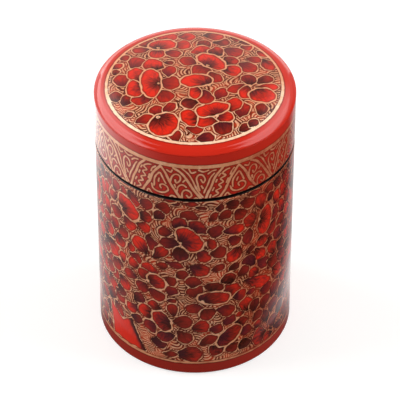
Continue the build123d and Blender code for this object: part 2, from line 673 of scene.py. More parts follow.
def paint_lid_top(points):
    """Flowers inside a gold ring, and plain red from the ring to the shoulder."""
    x, y = points[:, 0], points[:, 1]
    sheet = bare_sheet(*unsteady(x, y, x / outer_radius))
    radius = np.hypot(x - ring_centre[0], y - ring_centre[1])
    turn = np.arctan2(y, x) / (2 * math.pi)
    sheet["comb"] = turn * round(2 * math.pi * ring_radius / comb_pitch)
    for leaf in lid_leaves:
        lay_leaf(sheet, leaf)
    for knot, petals in lid_roses:
        lay_rose(sheet, knot, petals)
    sheet["tone"] = least_lid_tone + (1 - least_lid_tone) * sheet["tone"]
    # Painted highlight and shade: the gold is brighter near the viewer and duller on the far
    # side. The far side of the ring is also drawn thinner.
    sheet["gilt_and_painted_light"] = sheet["gilt_and_painted_light"] + 0.16 * eased(-y, 4, 22) - 0.14 * eased(y, 0, 22)
    leave_plain(sheet, radius > ring_radius, lid_border_tone)
    half_width = ring_width / 2 * (1 - 0.3 * eased(y, -12, 16))
    draw_gold(sheet, np.abs(radius - ring_radius) - half_width)
    # The ring's gold is brighter at the front, a painted highlight.
    ring_gilt_and_highlight = 0.86 - 0.36 * eased(y, -14, 16)
    sheet["gilt_and_painted_light"] = np.where(np.abs(radius - ring_radius) < ring_width, ring_gilt_and_highlight, sheet["gilt_and_painted_light"])
    return sheet


print("the gold ring on the lid is", 2 * ring_radius, "mm across")

# %% [markdown]
# ## The body's flowers
# Here x runs along the wall from the middle of the front, and the second number is the
# height. The patch that the photograph shows is about a third of the way round. The other
# two thirds repeat it, once mirrored, as a painter who knows the pattern would.

# %% Place the body's leaves and roses
body_leaves = [
    (-28.5, 79.0, 5.0, 4.5, 0, "split"), (-23.0, 78.5, 6.5, 4.5, -50, "split"),
    (-17.7, 78.5, 5.0, 4.5, 0, "maroon"), (-11.3, 79.0, 5.0, 4.8, 0, "maroon"),
    (-12.8, 75.0, 4.3, 3.8, 60, "dark"), (-7.0, 82.0, 3.0, 1.8, 0, "dark"),
    (-16.0, 61.0, 6.5, 4.8, -70, "maroon"), (-20.0, 58.3, 8.0, 5.5, 130, "bright"),
    (-32.5, 61.0, 5.0, 4.0, 60, "maroon"), (-28.0, 60.0, 5.0, 4.5, -60, "maroon"),
    (-29.8, 54.8, 5.5, 5.0, -70, "split"), (-36.0, 56.0, 5.0, 4.5, 0, "red"),
    (-22.3, 51.3, 5.5, 3.8, -40, "maroon"), (-12.5, 57.5, 8.5, 3.8, 50, "split"),
    (-11.5, 51.5, 3.5, 3.0, 90, "maroon"), (8.5, 79.5, 3.0, 3.0, 0, "dark"),
    (13.3, 80.0, 5.0, 3.8, -30, "dark"), (6.6, 75.8, 4.0, 3.0, 40, "maroon"),
    (10.4, 75.9, 4.5, 4.0, 30, "maroon"), (14.3, 56.5, 7.5, 5.0, 240, "bright"),
    (1.5, 51.5, 7.5, 5.3, -30, "split"), (-7.3, 53.2, 7.0, 2.4, -12, "maroon"),
    (8.3, 51.5, 4.8, 2.8, 20, "maroon"), (20.5, 56.0, 3.0, 2.0, 40, "dark"),
    (19.0, 78.5, 6.0, 4.0, -30, "maroon"), (28.5, 79.5, 5.0, 4.0, 20, "maroon"),
    (33.3, 79.8, 5.5, 3.6, -30, "dark"), (29.6, 75.6, 3.5, 3.0, 60, "dark"),
    (38.3, 79.3, 6.0, 3.6, -40, "maroon"), (37.3, 73.3, 8.0, 3.8, 120, "red"),
    (41.8, 74.5, 7.0, 3.6, 120, "maroon"), (36.2, 66.3, 8.0, 4.2, 115, "red"),
    (41.0, 67.5, 7.0, 3.8, 115, "maroon"), (45.5, 70.0, 7.0, 3.5, 115, "dark"),
    (36.3, 59.8, 6.0, 4.5, 120, "maroon"), (41.5, 61.0, 7.0, 3.8, 120, "red"),
    (34.3, 55.0, 6.0, 4.5, 130, "maroon"), (39.5, 54.5, 7.0, 4.0, 130, "dark"),
    (44.8, 56.0, 6.0, 3.6, 120, "maroon"), (28.8, 54.8, 4.5, 3.6, -50, "dark"),
    (31.5, 49.8, 7.5, 4.2, 110, "red"), (24.6, 52.0, 7.5, 4.2, -60, "bright"),
    (20.3, 50.3, 6.5, 4.6, 130, "dark"), (36.5, 48.5, 6.5, 5.0, -40, "dark"),
    (41.5, 49.3, 7.0, 4.0, 120, "red"), (14.0, 62.6, 6.0, 4.0, -55, "maroon"),
    (-21.3, 32.0, 5.0, 4.3, 40, "dark"), (-31.5, 79.3, 5.0, 3.8, 60, "maroon"),
    (-14.8, 31.0, 5.0, 4.0, 160, "split"), (-28.0, 35.4, 6.0, 4.5, -50, "red"),
    (-29.5, 30.5, 4.5, 3.5, -50, "dark"), (-33.6, 48.8, 7.0, 6.4, -50, "bright"),
    (-28.5, 47.5, 5.0, 3.0, 90, "red"), (-32.0, 42.0, 5.0, 4.0, -60, "maroon"),
    (-36.0, 38.0, 5.0, 4.0, -60, "maroon"), (-38.5, 46.0, 5.0, 4.0, -60, "maroon"),
    (-4.8, 48.5, 4.5, 4.0, 30, "maroon"), (-8.7, 45.0, 4.5, 3.5, 0, "maroon"),
    (-8.5, 40.2, 4.2, 4.0, 60, "maroon"), (-8.0, 31.0, 6.0, 3.5, 100, "maroon"),
    (-8.2, 35.6, 3.0, 1.8, 0, "maroon"), (17.8, 46.8, 4.5, 4.0, 40, "maroon"),
    (26.3, 46.3, 7.0, 4.2, -40, "maroon"), (31.8, 43.6, 7.0, 5.0, -30, "maroon"),
    (37.3, 42.5, 7.0, 4.6, -40, "maroon"), (42.3, 43.3, 6.0, 4.0, -45, "dark"),
    (24.6, 38.2, 16.0, 4.8, -32, "bright"), (34.2, 37.8, 7.5, 4.6, -40, "red"),
    (39.7, 37.3, 6.5, 4.0, -40, "maroon"), (28.3, 32.4, 6.0, 4.4, -20, "maroon"),
    (19.2, 29.8, 7.0, 4.8, 100, "bright"), (22.8, 27.6, 5.6, 4.0, 85, "dark"),
    (33.2, 28.8, 6.5, 5.4, 60, "maroon"), (27.6, 26.6, 5.6, 4.4, 60, "maroon"),
    (38.7, 31.0, 7.0, 4.2, -50, "red"), (37.8, 24.6, 6.0, 4.6, 60, "dark"),
    (42.8, 27.3, 6.0, 4.0, -50, "maroon"), (32.2, 21.6, 6.0, 5.0, 70, "maroon"),
    (28.2, 18.4, 7.0, 3.2, 110, "dark"), (36.8, 17.2, 6.0, 4.6, 70, "dark"),
    (41.8, 20.4, 6.5, 4.0, -50, "maroon"), (32.6, 13.2, 6.5, 4.2, 100, "maroon"),
    (35.8, 8.6, 6.5, 2.8, -25, "dark"), (41.0, 12.3, 6.5, 4.2, 100, "maroon"),
    (25.6, 10.7, 6.0, 7.6, 180, "bright"), (14.0, 63.0, 5.0, 3.6, -50, "maroon"),
    (-1.5, 82.2, 5.5, 1.6, 0, "maroon"), (-9.0, 83.0, 4.0, 1.4, 0, "maroon"),
    (2.0, 80.4, 4.5, 1.2, -12, "dark"), (21.8, 81.8, 4.5, 2.0, -10, "red"),
    (-22.5, 21.5, 4.5, 4.0, 0, "dark"), (-13.2, 13.8, 5.5, 5.5, 0, "dark"),
    (-2.0, 9.8, 8.5, 7.0, 0, "split"), (2.0, 23.5, 6.0, 5.5, 20, "red"),
    (7.5, 21.8, 4.5, 4.0, 0, "maroon"), (12.5, 25.0, 5.0, 4.0, 30, "maroon"),
    (4.8, 16.5, 7.0, 4.0, 25, "maroon"), (-9.0, 9.0, 5.0, 2.4, 5, "maroon"),
]
body_roses = [
    ((-28.5, 71.0), [
        (-33.0, 74.0, 4.5, 3.5, 20, "red"), (-18.3, 72.3, 5.5, 4.8, 0, "split"),
        (-18.8, 67.5, 5.5, 4.0, 0, "bright"), (-31.0, 67.5, 5.5, 4.8, 30, "maroon"),
        (-25.0, 65.8, 6.0, 4.8, -45, "red"), (-25.5, 73.0, 10.5, 7.0, -45, "bright"),
    ]),
    ((-5.0, 64.0), [
        (-1.8, 76.3, 6.5, 4.8, -25, "maroon"), (-5.6, 72.8, 5.5, 5.0, 45, "split"),
        (1.3, 71.2, 8.0, 4.2, -45, "split"), (-10.5, 68.0, 5.0, 4.0, 0, "maroon"),
        (-8.8, 63.3, 7.0, 4.4, 5, "dark"), (-5.3, 58.8, 6.5, 5.0, -70, "dark"),
        (3.0, 58.3, 6.5, 4.5, -60, "red"), (5.8, 63.5, 5.0, 3.0, -70, "red"),
        (7.0, 69.0, 5.3, 5.0, -20, "maroon"), (8.3, 58.8, 5.5, 5.0, 0, "maroon"),
        (14.0, 68.0, 8.0, 4.0, -5, "bright"), (-2.0, 65.7, 12.0, 6.8, -55, "bright"),
    ]),
    ((24.0, 68.0), [
        (24.8, 76.0, 7.5, 4.4, 98, "red"), (20.2, 69.2, 6.8, 4.6, 95, "red"),
        (19.4, 62.8, 6.8, 3.8, 85, "maroon"), (33.0, 72.6, 6.8, 3.4, 95, "bright"),
        (32.2, 66.5, 5.6, 3.8, 80, "maroon"), (30.6, 60.8, 5.5, 4.4, 60, "red"),
        (25.5, 57.6, 5.2, 4.4, -80, "bright"), (26.9, 66.6, 12.4, 5.8, 82, "bright"),
    ]),
    ((-17.0, 42.5), [
        (-16.5, 48.3, 6.5, 4.3, -15, "red"), (-23.0, 47.5, 5.0, 4.0, -30, "red"),
        (-24.6, 41.8, 5.5, 3.8, 0, "maroon"), (-19.5, 38.6, 5.0, 5.0, 60, "maroon"),
        (-14.0, 37.0, 6.5, 4.5, -30, "maroon"), (-18.4, 45.0, 5.4, 4.4, 20, "maroon"),
        (-14.0, 43.3, 6.6, 5.4, -35, "red"),
    ]),
    ((2.6, 36.0), [
        (13.0, 40.0, 9.5, 5.0, -50, "red"), (16.3, 35.8, 5.0, 4.5, 0, "bright"),
        (0.3, 32.7, 7.0, 4.2, -5, "maroon"), (4.8, 29.8, 6.0, 5.0, 30, "maroon"),
        (11.0, 30.3, 7.0, 5.0, -25, "maroon"), (6.5, 42.5, 7.0, 4.3, -15, "dark"),
        (11.8, 45.3, 5.5, 4.8, 20, "split"), (0.3, 40.8, 6.0, 5.5, -60, "maroon"),
        (-0.5, 45.6, 5.5, 4.6, 0, "maroon"), (6.8, 37.2, 11.5, 5.2, -10, "split"),
    ]),
    ((-8.5, 24.5), [
        (-18.3, 26.8, 6.5, 5.0, 110, "bright"), (-16.5, 20.3, 6.0, 4.5, -60, "maroon"),
        (-4.5, 25.8, 6.5, 5.5, 0, "maroon"), (-10.5, 17.5, 6.5, 4.5, 20, "split"),
        (-4.0, 18.5, 6.5, 5.0, -50, "maroon"), (-12.0, 24.5, 9.0, 6.0, -65, "split"),
    ]),
    ((8.4, 18.4), [
        (17.0, 22.3, 5.0, 3.8, -10, "split"), (24.0, 21.5, 4.5, 4.0, 30, "maroon"),
        (19.0, 17.2, 5.0, 4.2, 0, "maroon"), (14.0, 11.0, 5.0, 4.0, 40, "maroon"),
        (18.5, 10.5, 5.0, 4.5, 40, "dark"), (7.5, 11.5, 5.5, 4.8, -40, "split"),
        (12.5, 17.0, 10.5, 6.0, 45, "split"),
    ]),
]
print(len(body_leaves), "leaves and", len(body_roses), "roses in the body's patch")

# %% [markdown]
# A plain red tulip stands on the base line in the photograph, at the lower left, with two
# tips and a notch between them. It is two four-sided cuts of a broad brush. The distance
# from one cut is the greatest of its four half-planes, and the tulip takes the nearer cut.

# %% Lay the tulip
tulip_cuts = [
    [(-36.9, 21.8), (-34.6, 6.4), (-26.0, 6.4), (-28.8, 16.6)],
    [(-29.6, 16.4), (-30.0, 6.4), (-17.9, 6.4), (-24.7, 20.3)],
]
tulip_shadow = [(-17.9, 6.4), (-24.7, 20.3)]
shadow_width = 3.2
tulip_half_line = 0.25
tulip_feather = 0.35
rim_reach = 4
bristle_rate = 1.5
bristle_drag = 0.5


def right_of(du, dv, start, end):
    """Distance to the right of the line from start to end, and negative to its left."""
    run = np.subtract(end, start) / math.dist(start, end)
    return (du - start[0]) * run[1] - (dv - start[1]) * run[0]


def lay_tulip(sheet, shift, mirror):
    """The red tulip, dark along its right edge, as if it overlapped the flowers there."""
    du, dv = offsets(sheet, shift, 0.0)
    if mirror:
        du = -du
    distance = np.full(len(du), FAR)
    for corners in tulip_cuts:
        edges = zip(corners, corners[1:] + corners[:1])
        sides = [right_of(du, dv, start, end) for start, end in edges]
        distance = np.minimum(distance, np.max(sides, axis=0))
    inside = distance < 0
    rim = (distance < rim_reach) & ~inside
    sheet["outline"][inside] = -distance[inside] - tulip_half_line
    draw_gold(sheet, distance[rim] - tulip_half_line, rim)
    shade = np.clip(-right_of(du, dv, *tulip_shadow) / shadow_width, 0, 1)
    sheet["tone"][inside] = (0.05 + 0.9 * eased(shade, 0.25, 0.95))[inside]
    sheet["feather"][inside] = tulip_feather
    sheet["ground"][inside] = 0.0
    brush = np.stack([du * bristle_rate, dv * bristle_drag, du * 0], axis=-1)
    sheet["brush"][inside] = brush[inside]


print("tulip cuts:", len(tulip_cuts))

# %% Fill the gaps that are left
most_leaves = 160
widest_gap = 3.6
gap_overlap = 0.5
gap_stretch = 1.2


def fill_gaps(sheet, window, least, seed, choice=("maroon", "red", "dark", "maroon", "bright")):
    """Small leaves in the widest gaps of a window, until none is deeper than least.

    Each turn takes the point of open ground that is furthest from any outline and lays a
    leaf there as wide as the gap.
    """
    random = np.random.default_rng(seed)
    for turn in range(most_leaves):
        open_ground = window & (sheet["ground"] > 0.5)
        depth = np.where(open_ground, np.minimum(sheet["outline"], widest_gap), 0)
        deepest = int(np.argmax(depth))
        if depth[deepest] < least:
            break
        size = 2 * depth[deepest] - outline_room + gap_overlap
        place = (sheet["u"][deepest], sheet["v"][deepest])
        paint = choice[int(random.integers(len(choice)))]
        figure = (*place, size * gap_stretch, size, float(random.uniform(0, 360)), paint)
        lay(sheet, figure, petal_distance, fine_line, comb_halo=0.0)
    print("leaves laid in gaps:", turn)


print("a gap counts as", widest_gap, "mm deep at most")

# %% Paint the body
base_line = 5.6
base_line_width = 0.9
rim_line = 82.9
body_shade = 0.82
# The foot band's red is painted darker: painted shade low on the wall.
foot_tone_with_painted_shade = 0.49
comb_lean = 0.6
window_end = 55
patch_width = circumference / 3


def moved(figure, shift, mirror):
    """A figure carried along the wall, and turned over for a mirrored patch."""
    x, y, length, width, angle, paint = figure
    if mirror:
        return (shift - x, y, length, width, 180 - angle, paint)
    return (shift + x, y, length, width, angle, paint)


def paint_body(points):
    """Three patches of flowers between a plain foot band and the rim."""
    u = np.arctan2(points[:, 0], -points[:, 1]) * outer_radius
    v = points[:, 2]
    sheet = bare_sheet(*unsteady(u, v, u / outer_radius), circumference)
    sheet["comb"][:] = (u + comb_lean * v) / comb_pitch
    for shift, mirror in ((patch_width, True), (-patch_width, False), (0.0, False)):
        for leaf in body_leaves:
            lay_leaf(sheet, moved(leaf, shift, mirror))
        for knot, petals in body_roses:
            knot_x = shift - knot[0] if mirror else shift + knot[0]
            lay_rose(sheet, (knot_x, knot[1]), [moved(petal, shift, mirror) for petal in petals])
        lay_tulip(sheet, shift, mirror)
    wall = np.hypot(points[:, 0], points[:, 1]) > outer_radius - 0.2
    wall &= (v > base_line + 2) & (v < rim_line - 1)
    # The right of the front, its left, and the rest: each with its least gap and its seed.
    fill_gaps(sheet, wall & (u > 14) & (u < window_end), 1.3, 5)
    reds = ("red", "maroon", "bright", "red")
    fill_gaps(sheet, wall & (u > -window_end) & (u < -24), 1.4, 9, reds)
    fill_gaps(sheet, wall & (np.abs(u) >= window_end), 1.7, 6)
    plain = v < base_line
    # The foot band takes its darker red, a painted shade.
    leave_plain(sheet, plain, foot_tone_with_painted_shade)
    sheet["tone"][~plain] *= body_shade
    # Painted light and shade: the front is lighter towards both flanks and darker at its foot
    # and just right of its middle, as in the photograph.
    front = (np.abs(u) < window_end) & ~plain
    painted_light_and_shade = 0.32 * eased(-u, 10, 30) + 0.2 * eased(u, 32, 46) - 0.12 * eased(u, 4, 20)
    painted_light_and_shade = painted_light_and_shade - 0.14 * eased(-v, -36, -12)
    sheet["tone"] = sheet["tone"] * (1 + painted_light_and_shade * front)
    # Painted shade: the front's gold is duller towards the right.
    sheet["gilt_and_painted_light"] = sheet["gilt_and_painted_light"] + 0.12 - 0.44 * eased(u, 8, 24) * front
    draw_gold(sheet, np.abs(v - base_line) - base_line_width / 2)
    sheet["gilt_and_painted_light"][np.abs(v - base_line) < base_line_width] -= 0.26
    return sheet


print("the pattern repeats every", round(patch_width, 1), "mm round the body")

# %% [markdown]
# ## The lid's band
# The band is drawn with a finer brush: a zigzag ribbon between single gold lines, with curls
# and buds in the ribbon and in its triangles. It repeats eight times, so the strokes of one
# cell are enough, and the wall's coordinate is folded into it. A stroke is a few points that
# the brush passes through. They are chosen from the look of the photograph.

# %% The strokes of one cell of the band
band_legs = [
    [(-7.4, -0.4), (-5.4, 3.4), (-4.0, 6.6), (-2.9, 9.4), (-1.7, 11.6), (-0.3, 13.4)],
    [(-0.1, 13.2), (1.3, 11.0), (2.5, 8.6), (3.8, 5.6), (5.1, 3.0), (6.9, -0.2)],
    [(4.4, 13.6), (6.8, 11.8), (8.3, 9.6), (9.7, 7.1), (11.5, 4.1), (13.0, 1.6), (13.9, -0.2)],
    [(15.2, -0.2), (16.4, 3.4), (17.4, 6.6), (18.6, 9.6), (19.8, 11.8), (21.2, 13.6)],
]
band_curls = [
    [(-2.7, 4.0), (-2.5, 6.8), (-1.3, 9.4), (-0.4, 10.4), (0.7, 8.4), (1.7, 6.2)],
    [(-3.6, 4.4), (-3.0, 2.6), (-1.3, 1.8), (0.9, 2.0), (2.3, 3.4), (1.9, 5.0), (0.5, 5.6),
     (-0.6, 4.8), (-0.2, 3.7)],
    [(-5.6, -0.2), (-4.6, 1.6), (-3.5, 0.4), (-2.4, -0.4)],
    [(2.7, -0.4), (3.6, 1.2), (4.9, 0.6), (5.4, -0.4)],
    [(-1.0, 6.4), (-0.6, 7.8)], [(-0.7, 0.2), (0.9, 0.4)],
    [(3.4, 7.2), (3.7, 9.6), (4.9, 10.9), (6.3, 10.3), (6.6, 8.4), (5.5, 7.0), (4.9, 8.3)],
    [(5.5, 3.4), (6.1, 5.4), (7.5, 6.3), (8.8, 5.4)],
    [(7.2, 0.2), (7.2, 2.6), (8.5, 4.1), (10.1, 3.4), (10.5, 1.7), (9.5, 0.8), (8.7, 1.7)],
    [(1.9, 12.4), (3.3, 11.6), (3.9, 12.6)], [(10.9, -0.3), (11.9, 0.9), (12.9, -0.2)],
    [(5.2, 5.0), (4.8, 6.2)], [(7.6, 7.6), (8.1, 8.4)],
    [(7.2, 13.8), (9.4, 11.5), (10.5, 9.2), (11.5, 6.6), (12.8, 4.0), (14.4, 1.2)],
    [(14.9, 3.2), (15.7, 6.2), (16.9, 9.3), (18.3, 11.6)],
    [(13.4, 4.2), (12.4, 7.4), (12.2, 9.6), (13.2, 11.3), (14.6, 11.0), (15.2, 9.2),
     (14.4, 7.8), (13.7, 9.2)],
    [(9.7, 13.6), (10.7, 11.9), (12.0, 12.5)], [(13.0, 13.4), (14.6, 12.7), (16.2, 13.3)],
    [(16.3, 11.7), (17.4, 12.7), (18.7, 12.9)], [(13.8, 6.3), (14.4, 5.2)],
    [(23.6, 12.7), (22.2, 12.2), (21.1, 11.0), (22.3, 9.7), (20.6, 8.6), (21.5, 7.0), (19.8, 6.0),
     (20.6, 4.5), (18.9, 3.5), (19.8, 2.0), (18.0, 1.0)],
    [(23.9, 9.9), (24.3, 11.4), (25.3, 12.6)], [(22.6, 6.4), (23.3, 8.2)],
    [(21.9, 3.2), (22.4, 5.0)], [(20.0, 10.0), (20.4, 10.9)], [(18.9, 7.4), (19.3, 8.4)],
    [(17.7, 3.8), (18.1, 5.0)], [(20.8, 0.6), (21.4, 1.8)], [(16.9, 0.8), (17.2, 1.9)],
    [(19.1, 0.1), (20.0, 0.4)],
]
band_repeats = 8
band_cell = circumference / band_repeats
tent_centre = -11.7
leg_half_width = 0.44
curl_half_width = 0.31
print(len(band_legs) + len(band_curls), "strokes in a cell of", round(band_cell, 1), "mm")

# %% [markdown]
# The brush runs smoothly through its points, so a cubic joins them, and the distance from
# a stroke is the distance from that path less half the line's width.

# %% Brush a stroke
def brush_path(points, steps=5):
    """A smooth path through the points: one cubic on each span.

    Between b and c the path is b, plus t times half of (c - a), plus the squared and cubed
    terms that make it arrive at c with half of (d - b). The ends are repeated once.
    """
    points = np.array([points[0], *points, points[-1]])
    a, b, c, d = points[:-3, None], points[1:-2, None], points[2:-1, None], points[3:, None]
    t = (np.arange(steps) / steps)[None, :, None]
    spans = b + t / 2 * (c - a + t * (2 * a - 5 * b + 4 * c - d + t * (3 * (b - c) + d - a)))
    return np.vstack([spans.reshape(-1, 2), points[-1]])


def path_distance(x, y, path, cell):
    """Distance from the path, folded into the cell: the least over its straight pieces."""
    nearest = np.full(len(x), FAR)
    for start, end in zip(path[:-1], path[1:]):
        run = end - start
        du = (x - start[0] + cell / 2) % cell - cell / 2
        dv = y - start[1]
        along = np.clip((du * run[0] + dv * run[1]) / (run @ run), 0, 1)
        nearest = np.minimum(nearest, np.hypot(du - along * run[0], dv - along * run[1]))
    return nearest


print("the first leg's path has", len(brush_path(band_legs[0])), "points")

# %% Paint the band on the lid's ring
border_line = 99.0
border_slant = 0.75
border_width = 1.5
lid_border_shade = 0.69
band_shade = 0.66
band_feather = 0.25


def paint_lid_ring(points):
    """The strokes on a red ground, under one broad gold line and a plain border."""
    u = np.arctan2(points[:, 0], -points[:, 1]) * outer_radius
    v = points[:, 2]
    sheet = bare_sheet(u, v, circumference)
    drawn_line = border_line - border_slant * np.sin(u / outer_radius)
    on_wall = np.hypot(points[:, 0], points[:, 1]) > outer_radius - 0.6
    in_band = np.nonzero(on_wall & (v < drawn_line))[0]
    # An unsteady hand again, and a band squeezed under the slanting line.
    x = u[in_band] - tent_centre + 0.14 * np.sin(v[in_band] * 0.8 + u[in_band] * 0.29)
    y = (v[in_band] - lid_foot) * (border_line - lid_foot) / (drawn_line[in_band] - lid_foot)
    y = y + 0.15 * np.sin(u[in_band] * 0.47)
    for strokes, half_width in ((band_legs, leg_half_width), (band_curls, curl_half_width)):
        for stroke in strokes:
            stroke_distance = path_distance(x, y, brush_path(stroke), band_cell)
            draw_gold(sheet, stroke_distance - half_width, in_band)
    sheet["ground"][:] = 0.0
    sheet["tone"][:] = lid_border_shade
    sheet["tone"][in_band] = band_shade
    sheet["feather"][in_band] = band_feather
    sheet["brush"][:] = np.stack([u * bristle_rate, v, u * 0], axis=-1)
    # The gold is duller towards the right, as on the body: painted shade.
    sheet["gilt_and_painted_light"] = 0.6 - 0.42 * eased(u, 4, 24) * (u < window_end)
    draw_gold(sheet, np.abs(v - drawn_line) - border_width / 2)
    return sheet


print(f"the border line slopes by {2 * border_slant:.1f} mm from left to right")

# %% [markdown]
# ## Colours and the node helper
# Colours are picked as sRGB hex, as in any paint program. Blender's sockets want linear
# light, so one function converts them. One more function adds any node with its settings
# and links. It gives back the node's outputs, so that each step of a material can be named
# after what it works out.

# %% Helpers for materials
def linear(code):
    """An sRGB hex colour as linear RGBA: below 0.04045 divide by 12.92, else a 2.4 power."""
    channels = [int(code[index:index + 2], 16) / 255 for index in (1, 3, 5)]
    return [c / 12.92 if c <= 0.04045 else ((c + 0.055) / 1.055) ** 2.4 for c in channels] + [1.0]


def add(tree, kind, inputs=None, **settings):
    """Add a shader node, set its properties, fill its inputs, and give back its outputs.

    An input takes a plain value or another node's output.
    """
    made = tree.nodes.new("ShaderNode" + kind)
    for key, value in settings.items():
        setattr(made, key, value)
    for key, value in (inputs or {}).items():
        if isinstance(value, bpy.types.NodeSocket):
            tree.links.new(value, made.inputs[key])
        else:
            made.inputs[key].default_value = value
    return made.outputs


def empty_tree(owner):
    """The node tree of a new material or world, with nothing in it."""
    owner.use_nodes = True
    owner.node_tree.nodes.clear()
    return owner.node_tree


def per_millimetre(count):
    """A texture scale for Object coordinates, which are metres."""
    return count / METRES


print("scarlet in linear light:", [round(c, 3) for c in linear("#d42a1e")])

# %% [markdown]
# ## Gold and scarlet under gloss lacquer
# The colours are matt gouache, and bronze-powder gold is mostly binder with a little metal
# in it, so neither shines by itself. What shines is the clear lacquer on top, and the
# Principled shader's coat is made for exactly that. Noise on the piece's own coordinates
# gives the grain of the paint (about 0.5 mm), worn places in the gold (2 mm), patches in
# the ground (5 mm) and the slow ripple of brushed lacquer (6 mm).

# %% Read the painter's numbers and lay out the noises
painted = bpy.data.materials.new("painted wood under gloss lacquer")
tree = empty_tree(painted)
drawn_with = {
    name: add(tree, "Attribute", attribute_name=name)["Fac"] for name in SHEET_NUMBERS
}
brush = add(tree, "Attribute", attribute_name="brush")["Vector"]
place = add(tree, "TexCoord")["Object"]
noise = {}
for name, waves, detail in (
    ("grain", 2.2, 2.0), ("wear", 0.5, 2.0), ("patches", 0.22, 2.0), ("ripple", 0.16, 1.0),
):
    noise[name] = add(tree, "TexNoise", {
        "Vector": place, "Scale": per_millimetre(waves), "Detail": detail,
    })["Fac"]
print("noises:", ", ".join(noise))

# %% [markdown]
# Two more noises follow the brush. Bristle streaks are drawn out along the stroke, and the
# other one hardly changes within a figure, so it gives each petal a hue of its own.

# %% Streaks, tone, and gilt with its painted light
brush_noise = {}
for name, stretch, scale, detail, roughness in (
    ("streaks", (1.0, 0.22, 7.3), 1.9, 3.0, 0.6), ("own hue", (0.05, 0.1, 3.9), 1.0, 1.0, 0.5),
):
    stretched = add(tree, "VectorMath", {0: brush, 1: stretch}, operation="MULTIPLY")
    brush_noise[name] = add(tree, "TexNoise", {
        "Vector": stretched["Vector"], "Scale": scale, "Detail": detail, "Roughness": roughness,
    })["Fac"]

streak_depth = 1.5
either_way = add(tree, "Math", {0: brush_noise["streaks"], 1: 0.5}, operation="SUBTRACT")
feathered = add(tree, "Math", {0: drawn_with["feather"], 1: streak_depth}, operation="MULTIPLY")
streak_shift = add(tree, "Math", {0: either_way[0], 1: feathered[0]}, operation="MULTIPLY")
tone = add(tree, "Math", {
    0: drawn_with["tone"], 1: streak_shift[0],
}, operation="ADD", use_clamp=True)[0]

gilt_and_painted_light = drawn_with["gilt_and_painted_light"]
for texture, swing in (("wear", 0.5), ("grain", 0.3)):
    shift = add(tree, "Math", {
        0: noise[texture], 1: swing, 2: -swing / 2,
    }, operation="MULTIPLY_ADD")
    gilt_and_painted_light = add(tree, "Math", {0: gilt_and_painted_light, 1: shift[0]}, operation="ADD", use_clamp=True)[0]
print("tone and gilt are clamped to 0..1")

# %% [markdown]
# A gold line is where the drawn distance is below zero. Its edge is a smooth step, and so
# are the dark rim beside it, the comb strokes in the open ground and the share of plum in a
# petal, so one table holds them all: value, its low and high end, and the result at both.

# %% Masks
line_unsteadiness = 0.24
comb_strength = 0.9
waver = add(tree, "Math", {0: noise["grain"], 1: noise["wear"]}, operation="SUBTRACT")
drawn = add(tree, "Math", {
    0: waver[0], 1: line_unsteadiness, 2: drawn_with["outline"],
}, operation="MULTIPLY_ADD")[0]
comb_wave = add(tree, "Math", {0: drawn_with["comb"], 1: 0.5}, operation="PINGPONG")[0]
step = {}
for name, value, low, high, at_low, at_high in (
    ("line", drawn, -0.1, 0.07, 1.0, 0.0),
    ("rim", drawn, 0.1, 0.75, 0.55, 0.0),
    ("comb start", drawn, 0.2, 0.4, 0.0, comb_strength),
    ("comb line", comb_wave, 0.2, 0.34, 0.0, 1.0),
    ("plum petals", brush_noise["own hue"], 0.42, 0.66, 0.0, 0.36),
    ("in a petal", drawn_with["feather"], 0.28, 0.4, 0.0, 1.0),
    ("in the dark", tone, 0.25, 0.85, 1.0, 0.0),
):
    step[name] = add(tree, "MapRange", {
        "Value": value, "From Min": low, "From Max": high, "To Min": at_low, "To Max": at_high,
    }, interpolation_type="SMOOTHSTEP")["Result"]

product = {}
for name, first, *others in (
    ("comb", step["comb line"], step["comb start"], drawn_with["ground"]),
    ("plum", step["plum petals"], step["in a petal"], step["in the dark"]),
):
    product[name] = first
    for other in others:
        product[name] = add(tree, "Math", {0: product[name], 1: other}, operation="MULTIPLY")[0]
gold_mask = add(tree, "Math", {0: step["line"], 1: product["comb"]}, operation="MAXIMUM")[0]
print("smooth steps:", ", ".join(step))

# %% [markdown]
# Three ramps hold the shades: petals from near black to scarlet, the ground from brown to
# brick, and gold from tarnished to bright, where the gold's number also carries its painted
# highlight and shade. The layers then go on from the bottom up.

# %% Shades and layers
shade = {}
for name, value, interpolation, stops in (
    ("petal", tone, "LINEAR", (
        (0.0, "#2b130a"), (0.22, "#581c13"), (0.45, "#8a251a"), (0.7, "#bb291b"), (1.0, "#de2c1a"),
    )),
    ("ground", noise["patches"], "EASE", ((0.35, "#5a1a10"), (0.65, "#b43a20"))),
    ("gold", gilt_and_painted_light, "EASE", ((0.0, "#a14c31"), (0.5, "#d89770"), (1.0, "#f6d2b2"))),
):
    shade[name] = add(tree, "ValToRGB", {"Fac": value})["Color"]
    ramp = shade[name].node.color_ramp
    ramp.interpolation = interpolation
    ramp.elements.remove(ramp.elements[1])
    ramp.elements[0].position, ramp.elements[0].color = stops[0][0], linear(stops[0][1])
    for position, code in stops[1:]:
        ramp.elements.new(position).color = linear(code)

colour = shade["petal"]
for share, over in (
    (product["plum"], linear("#501c2e")),
    (drawn_with["ground"], shade["ground"]),
    (step["rim"], linear("#38120c")),
    (gold_mask, shade["gold"]),
):
    colour = add(tree, "Mix", {"Factor": share, "A": colour, "B": over}, data_type="RGBA")["Result"]
print("shades:", ", ".join(shade))

# %% [markdown]
# Gold paint stands a few hundredths of a millimetre proud of the ground. The coat has its
# own, slower bump, because the lacquer levels that out. A lacquer's index is near 1.5, and
# 1.36 matches the weak highlights of this one.

